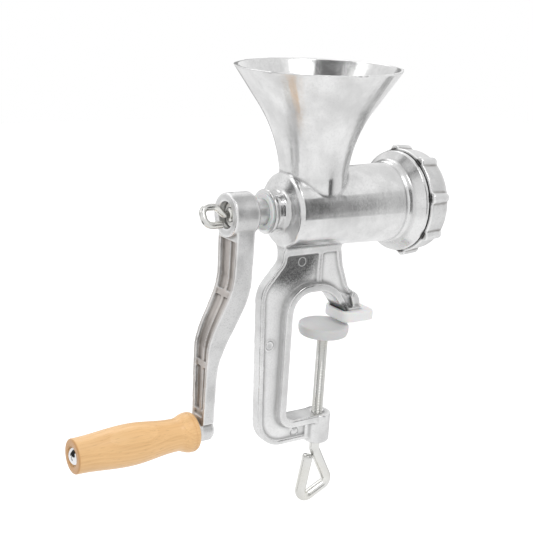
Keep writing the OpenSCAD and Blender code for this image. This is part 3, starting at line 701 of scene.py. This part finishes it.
class Route:
    """A path by arc length, with a direction and a side that doesn't twist."""

    def __init__(self, path, side):
        self.path = path
        self.side = side
        self.marks = [0.0]
        for a, b in zip(path, path[1:]):
            self.marks.append(self.marks[-1] + (b - a).length)
        self.length = self.marks[-1]

    def at(self, s):
        """The point and the direction at a distance along the path."""
        i = int(np.searchsorted(self.marks, s, side="right")) - 1
        i = max(0, min(i, len(self.path) - 2))
        a, b = self.path[i], self.path[i + 1]
        share = (s - self.marks[i]) / (b - a).length
        return a + (b - a) * share, (b - a).normalized()


# depth of thread at which its painted shade is darkest, and how steep its flanks are
THREAD_SHADE_DEPTH = 0.8 * MM
FLANK_SLOPE = 1.25
# how far to both sides a bar's direction is taken
LOOK_AROUND = 0.3 * MM
# height of a rounded end as a share of its radius
DOME_HEIGHT = 0.45


def drawn(name, route, rings, sides=32):
    """A bar drawn along a route. A ring is (distance, radius, thread depth, thread pitch)."""
    points, faces, cuts = [], [], []
    for s, radius, depth, pitch in rings:
        at, _ = route.at(min(max(s, 0.0), route.length))
        _, before = route.at(max(0.0, s - LOOK_AROUND))
        _, after = route.at(min(route.length, s + LOOK_AROUND))
        ahead = (before + after).normalized()
        across = ahead.cross(route.side).normalized()
        for k in range(sides):
            turn = k / sides
            angle = TURN * turn
            phase = (s / pitch + turn) % 1.0
            cut = depth * (1 - min(1.0, abs(2 * phase - 1) * FLANK_SLOPE))
            arm = route.side * math.cos(angle) + across * math.sin(angle)
            points.append(at + arm * (radius - cut))
            cuts.append(cut / THREAD_SHADE_DEPTH)
    last = (len(rings) - 1) * sides
    for here in range(0, last, sides):
        there = here + sides
        for k in range(sides):
            after = (k + 1) % sides
            faces.append((here + k, there + k, there + after, here + after))
    faces.append(tuple(range(sides)))
    faces.append(tuple(last + k for k in reversed(range(sides))))
    piece = new_piece(name, points, faces)
    mark(piece.data, RELIEF, np.array(cuts))
    return piece


def threaded(start, end, radius, depth, pitch, per_turn=10):
    """Rings of a threaded stretch, running out at both ends."""
    count = int((end - start) / pitch * per_turn)
    rings = []
    for i in range(count + 1):
        s = start + (end - start) * i / count
        fade = min(1.0, (s - start) / pitch, (end - s) / pitch)
        rings.append((s, radius, depth * fade, pitch))
    return rings


def plain(*stations):
    """Rings of a plain stretch from (distance, radius) stations."""
    return [(s, radius, 0.0, 1.0) for s, radius in stations]


def dome(length, radius, steps=6):
    """Rings of a rounded end."""
    tip_radius = 0.02 * MM
    stations = []
    for i in range(steps + 1):
        angle = math.pi / 2 * i / steps
        s = length - radius * DOME_HEIGHT * (1 - math.sin(angle))
        stations.append((s, radius * math.cos(angle) * 0.999 + tip_radius))
    return plain(*stations)


# ---- operators


# Places on the castings, in millimetres from the barrel's rear edge: x along the axle, z up,
# r off the axle
FLANGE_X, NECK_X, NECK_LOW_Z, RIM_Z, BARREL_LOW_Z = 96, -9, -20, 92, -24
# the narrow gap between the barrel's shoulder and the ring nut, which gets a painted shadow
SHOULDER_X, SHOULDER_R, NUT_REAR_X, NUT_GAP_R, NUT_NEAR_X = 102.0, 33.5, 102.7, 37.5, 105
# the clamp frame's sunk panels: half their thickness and their upper edge
PANEL_HALF, PANEL_TOP_Z = 3.7, -28
# the crank arm's outer face: its x under the hub, its step outwards, and the bend's top and
# length downwards; the channel in it starts below the hub
ARM_X, ARM_STEP, BEND_TOP, BEND_LENGTH, CHANNEL_TOP_Z = -41.0, 16.7, 40, 52, -16
CHANNEL_LIP = 0.6
# centres of the mould marks: x and z, and how far their plane lies from the frame's middle
MARKS = ((19.0, -37.0), (-4.0, -95.0), (22.5, -164.8))
MARK_FACE = 2.75 * MM
PAD_GRID = 0.5 * MM


def along_axle(points):
    """Points in millimetres from the barrel's rear edge: along the axle, from it, and up."""
    local = (points - np.array(AXLE)) / MM
    return local[:, 0], np.hypot(local[:, 1], local[:, 2]), local[:, 2]


class GRINDER_OT_body(Operator):
    """Cast the body with its hopper and clamp frame"""

    bl_idname = "grinder.body"
    bl_label = "Body"

    def execute(self, context):
        piece = recast("grinder_body", "body_casting", sizes().casting_grid)
        x, radius, z = along_axle(vectors_of(piece.data, "co"))
        machined = (x > FLANGE_X) | ((x < NECK_X) & (z > NECK_LOW_Z)) | (z > RIM_Z)
        rubbing = np.where(machined, 0.35, np.where(z > BARREL_LOW_Z, 0.6, 0.9))
        rub_edges(piece.data, sizes().casting_passes, rubbing)
        mark_relief(piece.data, 0.22 * MM)
        self.cut_thread(piece.data)
        # the gap at the shoulder gets a painted shadow
        on_shoulder = (np.abs(x - SHOULDER_X) < 0.3) & (radius > SHOULDER_R)
        mark(piece.data, GAP_SHADOW, on_shoulder)
        self.mark_panels(piece.data)
        seat(piece, "housing", "polished_aluminium", "body_casting")
        return {"FINISHED"}

    def mark_panels(self, mesh):
        """The sunk panels of the clamp frame keep the mould's skin."""
        points = vectors_of(mesh, "co")
        from_middle = np.abs(points[:, 1] - AXLE.y)
        below = points[:, 2] < AXLE.z + PANEL_TOP_Z * MM
        flat = np.abs(vectors_of(mesh, "normal")[:, 1]) > 0.7
        mark(mesh, RAW_SKIN, (from_middle < PANEL_HALF * MM) & below & flat)

    def cut_thread(self, mesh):
        """Cut the ring nut's thread into the barrel's front."""
        nut_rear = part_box("ring_nut")[0].x
        plate_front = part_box("hole_plate")[1].x
        points = vectors_of(mesh, "co")
        inner, depth, run_out = 32.4 * MM, 1.3 * MM, 1.5 * MM
        offset = points - np.array(AXLE)
        radius = np.hypot(offset[:, 1], offset[:, 2])
        turn = np.arctan2(offset[:, 2], offset[:, 1]) / TURN
        x = points[:, 0]
        phase = (x / sizes().nut_pitch - turn) % 1.0
        start, end = nut_rear + 2.6 * MM, plate_front - 1.6 * MM
        fade = np.clip(np.minimum(x - start, end - x) / run_out, 0, 1)
        wave = 0.5 - 0.5 * np.cos(TURN * phase)
        cut = np.where(radius > inner, depth * wave * fade, 0)
        scale = (radius - cut) / np.maximum(radius, 0.001 * MM)
        points[:, 1:] = np.array(AXLE)[1:] + offset[:, 1:] * scale[:, None]
        set_points(mesh, points)


class GRINDER_OT_marks(Operator):
    """Raise the round marks that the mould's pins left on both sides of the frame"""

    bl_idname = "grinder.marks"
    bl_label = "Mould Marks"

    def execute(self, context):
        profile = in_metres((
            (0.0, 2.5), (0.35, 2.7), (0.5, 2.95), (0.5, 3.2), (0.35, 3.5), (0.0, 3.7)))
        for number, (x, z) in enumerate(MARKS):
            for side, out in (("front", -1.0), ("back", 1.0)):
                origin = AXLE + Vector((x * MM, out * MARK_FACE, z * MM))
                name = "mark_%s_%d" % (side, number + 1)
                piece = turned(name, origin, (0.0, out, 0.0), profile, 48)
                finish(piece, "polished_aluminium")
                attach(piece, "housing")
        return {"FINISHED"}


class GRINDER_OT_crank(Operator):
    """Cast the crank arm and the ring nut"""

    bl_idname = "grinder.crank"
    bl_label = "Crank and Nut"

    def execute(self, context):
        for name, node, body, share, relief in (
                ("crank_casting", "crank_arm", "drive", 0.55, 0.32),
                ("nut_casting", "ring_nut", "nut", 0.5, 0.2)):
            piece = recast(name, node, sizes().fine_grid)
            x, radius, _ = along_axle(vectors_of(piece.data, "co"))
            near_gap = (node == "ring_nut") & (x < NUT_NEAR_X)
            rub_edges(piece.data, sizes().casting_passes, np.where(near_gap, 0.2, share))
            mark_relief(piece.data, relief * MM)
            if node == "crank_arm":
                self.mark_channel(piece.data)
            else:
                # the nut's rear face beside the gap gets a painted shadow
                mark(piece.data, GAP_SHADOW, (x < NUT_REAR_X) & (radius < NUT_GAP_R))
            seat(piece, body, "cast_aluminium", node)
        return {"FINISHED"}

    def mark_channel(self, mesh):
        """The channel along the arm's outer side keeps the mould's skin, which the finish darkens as painted
        shade.
        """
        x, _, z = along_axle(vectors_of(mesh, "co"))
        bend = np.clip((-z - BEND_TOP) / BEND_LENGTH, 0, 1)
        face = ARM_X - ARM_STEP * bend * bend * (3 - 2 * bend)
        outward = vectors_of(mesh, "normal")[:, 0] < -0.5
        share = np.clip((x - face) / CHANNEL_LIP, 0.7, 1)
        mark(mesh, RAW_SKIN, share * outward * (z < CHANNEL_TOP_Z))


class GRINDER_OT_feed(Operator):
    """Cast the feed screw"""

    bl_idname = "grinder.feed"
    bl_label = "Feed Screw"

    def execute(self, context):
        piece = recast("feed_screw", "auger", sizes().fine_grid)
        rubbing = np.full(len(piece.data.vertices), 0.6)
        rub_edges(piece.data, sizes().casting_passes // 2, rubbing)
        seat(piece, "drive", "cast_aluminium", "auger")
        return {"FINISHED"}


class GRINDER_OT_clamp_screw(Operator):
    """Cut and bend the clamp screw"""

    bl_idname = "grinder.clamp_screw"
    bl_label = "Clamp Screw"

    def execute(self, context):
        low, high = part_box("clamp_screw")
        plate_low, plate_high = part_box("foot_plate")
        bar, bend = 4.0 * MM, 5.4 * MM
        axis = Vector((SCREW_AXIS.x, SCREW_AXIS.y, 0.0))
        start_z = low.z + bar + 44.0 * MM
        # the round bends lift the bar this far off the path's lowest corner
        bend_lift = 3.6 * MM
        corners = [axis + Vector((x, 0.0, z)) for x, z in (
            (0.0, high.z),
            (0.0, start_z - 3.0 * MM - bend_lift),
            (14.8 * MM, low.z + bar + 12.0 * MM - bend_lift),
            (-11.8 * MM, low.z + bar - bend_lift),
            (-5.2 * MM, start_z - 6.4 * MM - bend_lift))]
        route = Route(rounded(corners, bend), Vector((0.0, -1.0, 0.0)))
        neck_top = high.z - plate_high.z
        neck_end = high.z - plate_low.z + 0.05 * MM
        thread_end = high.z - start_z - 1.5 * MM
        thin, shank = bar - 1.4 * MM, bar - 0.1 * MM
        thread_depth, ring_gap = 0.45 * MM, 1.0 * MM
        rings = plain(
            (0.0, thin), (0.0, thin + 1.0 * MM), (neck_top * 0.5, thin + 1.6 * MM),
            (neck_top - 0.05 * MM, thin + 1.6 * MM), (neck_top - 0.05 * MM, thin),
            (neck_end, thin), (neck_end, bar - 0.8 * MM), (neck_end + 0.8 * MM, bar))
        rings += threaded(
            neck_end + 0.9 * MM, thread_end, bar, thread_depth, sizes().clamp_pitch)
        steps = int((route.length - thread_end) / ring_gap)
        stretch = route.length - bar * DOME_HEIGHT - thread_end
        rings += plain(*[(thread_end + stretch * i / steps, shank) for i in range(1, steps)])
        rings += dome(route.length, shank)
        piece = drawn("clamp_screw_bar", route, rings)
        seat(piece, "screw", "zinc_steel", "clamp_screw")
        return {"FINISHED"}


class GRINDER_OT_thumb_screw(Operator):
    """Cut and bend the thumb screw"""

    bl_idname = "grinder.thumb_screw"
    bl_label = "Thumb Screw"

    def execute(self, context):
        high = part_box("thumb_screw")[1]
        washer_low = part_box("thumb_washer")[0]
        shank, wire, bend = 2.6 * MM, 2.3 * MM, 5.0 * MM
        loop_side, thread_depth, ring_gap = 6.3 * MM, 0.4 * MM, 0.8 * MM
        out_x = washer_low.x - 2.0 * MM
        lean = Matrix.Rotation(math.radians(-35), 4, "X")
        corners = [Vector((x, 0.0, z)) for x, z in (
            (high.x, 0.0),
            (out_x - 4.0 * MM, 0.0),
            (out_x - 8.0 * MM, loop_side),
            (out_x - 19.5 * MM, loop_side),
            (out_x - 19.5 * MM, -loop_side),
            (out_x - 6.5 * MM, -loop_side))]
        centre = Vector((0.0, AXLE.y, AXLE.z))
        path = [lean @ p + centre for p in rounded(corners, bend)]
        side = (lean @ Vector((0.0, -1.0, 0.0))).normalized()
        route = Route(path, side)
        to_washer = high.x - washer_low.x
        rings = plain((0.0, shank - 0.5 * MM), (0.5 * MM, shank - 0.2 * MM))
        rings += threaded(
            0.7 * MM, to_washer - 3.0 * MM, shank, thread_depth, sizes().thumb_pitch)
        rings += plain(
            (to_washer - 0.01 * MM, shank), (to_washer, 4.5 * MM), (to_washer + 0.5 * MM, 5.0 * MM),
            (to_washer + 1.5 * MM, 5.0 * MM), (to_washer + 2.0 * MM, 4.4 * MM),
            (to_washer + 2.0 * MM, wire + 0.3 * MM), (to_washer + 2.6 * MM, wire))
        begin = to_washer + 3.0 * MM
        stretch = route.length - wire * DOME_HEIGHT - begin
        steps = int(stretch / ring_gap)
        rings += plain(*[(begin + stretch * i / steps, wire) for i in range(steps)])
        rings += dome(route.length, wire)
        piece = drawn("thumb_screw_wire", route, rings, 28)
        seat(piece, "thumb_screw", "zinc_steel", "thumb_screw")
        return {"FINISHED"}


class GRINDER_OT_handle(Operator):
    """Turn the wooden handle"""

    bl_idname = "grinder.handle"
    bl_label = "Handle"

    def execute(self, context):
        low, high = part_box("handle_grip")
        length = (high.x - low.x) / MM
        bore, pocket, pocket_depth = 3.58, 6.7, 1.6
        stations = [(4.0, 13.6), (14.0, 11.1), (length * 0.55, 13.9), (length - 1.2, 11.6)]
        profile = [
            (0.0, bore), (0.0, 12.0), (0.15, 12.5), (0.5, 13.0), (1.6, 13.5), (2.9, 13.6),
            (3.3, 13.2), (3.6, 13.2)]
        steps = 22
        for (x0, r0), (x1, r1) in zip(stations, stations[1:]):
            for i in range(steps):
                share = i / steps
                ease = (1 - math.cos(math.pi * share)) / 2
                profile.append((x0 + (x1 - x0) * share, r0 + (r1 - r0) * ease))
        profile += [
            (length - 1.2, 11.6), (length - 0.7, 11.5), (length - 0.3, 11.2),
            (length - 0.08, 10.8), (length, 10.4), (length, pocket + 0.3),
            (length - 0.1, pocket + 0.1), (length - 0.3, pocket),
            (length - pocket_depth, pocket), (length - pocket_depth, bore)]
        origin = Vector((high.x, HANDLE_AXIS.y, HANDLE_AXIS.z))
        piece = turned("handle_wood", origin, (-1, 0, 0), in_metres(profile))
        seat(piece, "handle", "beech", "handle_grip")
        return {"FINISHED"}


class GRINDER_OT_pads(Operator):
    """Mould the jaw pad and the foot pad"""

    bl_idname = "grinder.pads"
    bl_label = "Pads"

    def execute(self, context):
        for name, node, body, used in (
                ("jaw_pad_moulding", "jaw_pad", "housing", 0.0),
                ("foot_pad_moulding", "foot_pad", "foot", 1.0)):
            piece = recast(name, node, PAD_GRID)
            count = len(piece.data.vertices)
            rub_edges(piece.data, sizes().casting_passes, np.full(count, 0.4))
            mark(piece.data, RAW_SKIN, np.full(count, used))
            seat(piece, body, "white_plastic", node)
        return {"FINISHED"}


class GRINDER_OT_small_parts(Operator):
    """Finish the turned and ground pieces"""

    bl_idname = "grinder.small_parts"
    bl_label = "Turned and Ground Pieces"

    def execute(self, context):
        subparts = frame["record"]["subparts"]
        slots = {entry["node"]: entry["material_slot"] for entry in subparts}
        for name, node in frame["nodes"].items():
            if not node.hide_render:
                finish(node, slots[name])
        return {"FINISHED"}


# name, azimuth from the front towards the nut, elevation, distance, width, height, tone
CARDS = (
    ("card_band", 33.0, 9.0, 0.9, 0.42, 0.90, 0.26),
    ("card_above", -61.0, 63.0, 0.9, 0.56, 0.40, 0.14),
    ("card_above_left", -112.0, 60.0, 0.9, 0.20, 0.35, 0.5),
    ("card_neck", -126.0, 8.0, 0.9, 0.18, 0.34, 0.08),
    ("flag_left", -112.0, -34.0, 0.6, 0.12, 0.20, 0.45),
    ("flag_right", 97.0, -26.0, 0.6, 0.14, 0.20, 0.45),
    ("card_dome", -100.0, -23.0, 0.28, 0.11, 0.12, 0.03),
    ("card_back", 150.0, 5.0, 0.9, 0.35, 0.60, 0.34),
)
# a card that gets lighter along its width: from and to, as shares of it, and the tones there
FADES = {"card_band": (0.46, 0.80, 0.06, 0.85)}
# name, azimuth, elevation, distance, size, power
LAMPS = (
    ("key_light", 0.0, 62.0, 1.9, 0.7, 5.0),
    ("left_light", -113.0, 50.0, 1.9, 0.8, 4.0),
    ("back_light", 160.0, 45.0, 1.9, 0.8, 3.0),
)
SQUARE = ((-1, -1), (1, -1), (1, 1), (-1, 1))
# degrees, and millimetres from the barrel's rear edge
CAMERA_AZIMUTH, CAMERA_ELEVATION, CAMERA_ROLL = -34.72, 15.42, 3.51
CAMERA_PLACE = (-409.74, -578.95, 155.94)
SENSOR_WIDTH = 36.0
# in metres; the floor's own glow, as the camera and as reflections see it
FLOOR_HALF, FLOOR_DROP = 4.0, 0.35
FLOOR_COLOUR = (0.85, 0.85, 0.85, 1.0)
GLOW_SEEN, GLOW_REFLECTED = 0.45, 0.25
# the world's strength on the object; it is 1 where it is seen
WORLD_STRENGTH = 0.78


def direction(azimuth, elevation):
    """The way from the object towards a card or a lamp."""
    turn, rise = math.radians(azimuth), math.radians(elevation)
    level = math.cos(rise)
    return Vector((math.sin(turn) * level, -math.cos(turn) * level, math.sin(rise)))


class GRINDER_OT_stage(Operator):
    """Set the floor, the light and the camera"""

    bl_idname = "grinder.stage"
    bl_label = "Stage"

    def execute(self, context):
        self.set_camera(context)
        self.lay_floor()
        self.light()
        self.hang_cards()
        self.white_world(context)
        context.scene.view_settings.view_transform = "Standard"
        return {"FINISHED"}

    def set_camera(self, context):
        """Set the camera, rolled a little to its right."""
        turn, roll = math.radians(CAMERA_AZIMUTH), math.radians(CAMERA_ROLL)
        back = direction(CAMERA_AZIMUTH, CAMERA_ELEVATION)
        right = Vector((math.cos(turn), math.sin(turn), 0.0))
        up = back.cross(right)
        rolled_right = right * math.cos(roll) + up * math.sin(roll)
        rolled_up = up * math.cos(roll) - right * math.sin(roll)
        lens = bpy.data.cameras.new("Camera")
        lens.lens = sizes().camera_lens / MM
        lens.sensor_width = SENSOR_WIDTH
        camera = linked("Camera", lens)
        axes = Matrix((rolled_right, rolled_up, back)).transposed().to_4x4()
        place_at = AXLE + Vector(CAMERA_PLACE) * MM
        camera.matrix_world = Matrix.Translation(place_at) @ axes
        context.scene.camera = camera

    def lay_floor(self):
        """Lay a white floor that glows a little for the camera and for reflections."""
        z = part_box("clamp_screw")[0].z - FLOOR_DROP
        corners = [(x * FLOOR_HALF, y * FLOOR_HALF, z) for x, y in SQUARE]
        floor = new_piece("floor", corners, [(0, 1, 2, 3)])
        made, tree, shader = new_material(
            "floor_white", Roughness=0.8, Base_Color=FLOOR_COLOUR)
        path = tree.nodes.new("ShaderNodeLightPath").outputs
        reflected = calc(tree, "MULTIPLY", path["Is Glossy Ray"], GLOW_REFLECTED)
        strength = calc(tree, "MULTIPLY_ADD", path["Is Camera Ray"], GLOW_SEEN, reflected)
        glow = add(tree, "ShaderNodeEmission", Color=WHITE, Strength=strength)
        both = add(tree, "ShaderNodeAddShader")
        feed(tree, both.inputs[0], shader.outputs[0])
        feed(tree, both.inputs[1], glow.outputs[0])
        join(tree, tree.nodes["Material Output"], Surface=both.outputs[0])
        floor.data.materials.append(made)

    def light(self):
        """Hang three square lamps round the object."""
        for name, azimuth, elevation, distance, size, power in LAMPS:
            lamp = bpy.data.lights.new(name, "AREA")
            lamp.size = size
            lamp.energy = power
            holder = linked(name, lamp)
            way = direction(azimuth, elevation)
            holder.location = AXLE + way * distance
            holder.rotation_mode = "QUATERNION"
            holder.rotation_quaternion = way.to_track_quat("Z", "Y")

    def hang_cards(self):
        """Hang grey cards that only reflections see, which give the bright metal its bands."""
        for name, azimuth, elevation, distance, width, height, tone in CARDS:
            made, tree, shader = new_material(
                name + "_grey", Roughness=1.0, Specular_IOR_Level=0.0, Base_Color=BLACK,
                Emission_Color=WHITE, Emission_Strength=tone)
            if name in FADES:
                span = add(tree, "ShaderNodeTexCoord").outputs["Generated"]
                cloud = calc(tree, "SUBTRACT", noise(tree, span, 7.0, 3.0, 0.55), 0.5)
                along = calc(tree, "MULTIPLY_ADD", cloud, 0.2, split(tree, span)["X"])
                join(tree, shader, Emission_Strength=spread(tree, along, *FADES[name]))
            way = direction(azimuth, elevation)
            across = Vector((0, 0, 1)).cross(way).normalized()
            up = way.cross(across)
            middle = AXLE + way * distance
            corners = [middle + across * (x * width / 2) + up * (y * height / 2)
                       for x, y in SQUARE]
            card = new_piece(name, corners, [(0, 1, 2, 3)])
            card.data.materials.append(made)
            card.visible_camera = False
            card.visible_diffuse = False
            card.visible_shadow = False
            card.visible_transmission = False

    def white_world(self, context):
        """Make the world white where it is seen, and a plain light elsewhere."""
        world = bpy.data.worlds.new("White")
        world.use_nodes = True
        tree = world.node_tree
        path = tree.nodes.new("ShaderNodeLightPath").outputs
        seen = calc(tree, "MAXIMUM", path["Is Camera Ray"], path["Is Glossy Ray"])
        seen = calc(tree, "MAXIMUM", seen, path["Is Transmission Ray"])
        strength = spread(tree, seen, 0.0, 1.0, WORLD_STRENGTH, 1.0)
        join(tree, tree.nodes["Background"], Color=WHITE, Strength=strength)
        context.scene.world = world


class GRINDER_PT_panel(Panel):
    """Lists the pieces of the grinder and the stage"""

    bl_label = "Meat Grinder"
    bl_idname = "GRINDER_PT_panel"
    bl_space_type = "VIEW_3D"
    bl_region_type = "UI"
    bl_category = "Grinder"

    def draw(self, context):
        for step in STEPS:
            self.layout.operator(step.bl_idname)


STEPS = (
    GRINDER_OT_body,
    GRINDER_OT_marks,
    GRINDER_OT_crank,
    GRINDER_OT_feed,
    GRINDER_OT_clamp_screw,
    GRINDER_OT_thumb_screw,
    GRINDER_OT_handle,
    GRINDER_OT_pads,
    GRINDER_OT_small_parts,
    GRINDER_OT_stage,
)
CLASSES = (GrinderSizes, GrinderColours, *STEPS, GRINDER_PT_panel)


def register():
    for kind in CLASSES:
        bpy.utils.register_class(kind)
    bpy.types.Scene.grinder_sizes = PointerProperty(type=GrinderSizes)
    bpy.types.Scene.grinder_colours = PointerProperty(type=GrinderColours)


def unregister():
    del bpy.types.Scene.grinder_colours
    del bpy.types.Scene.grinder_sizes
    for kind in reversed(CLASSES):
        bpy.utils.unregister_class(kind)


def main():
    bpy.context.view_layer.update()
    register()
    for step in STEPS:
        group, name = step.bl_idname.split(".")
        getattr(getattr(bpy.ops, group), name)()


if __name__ == "__main__":
    main()
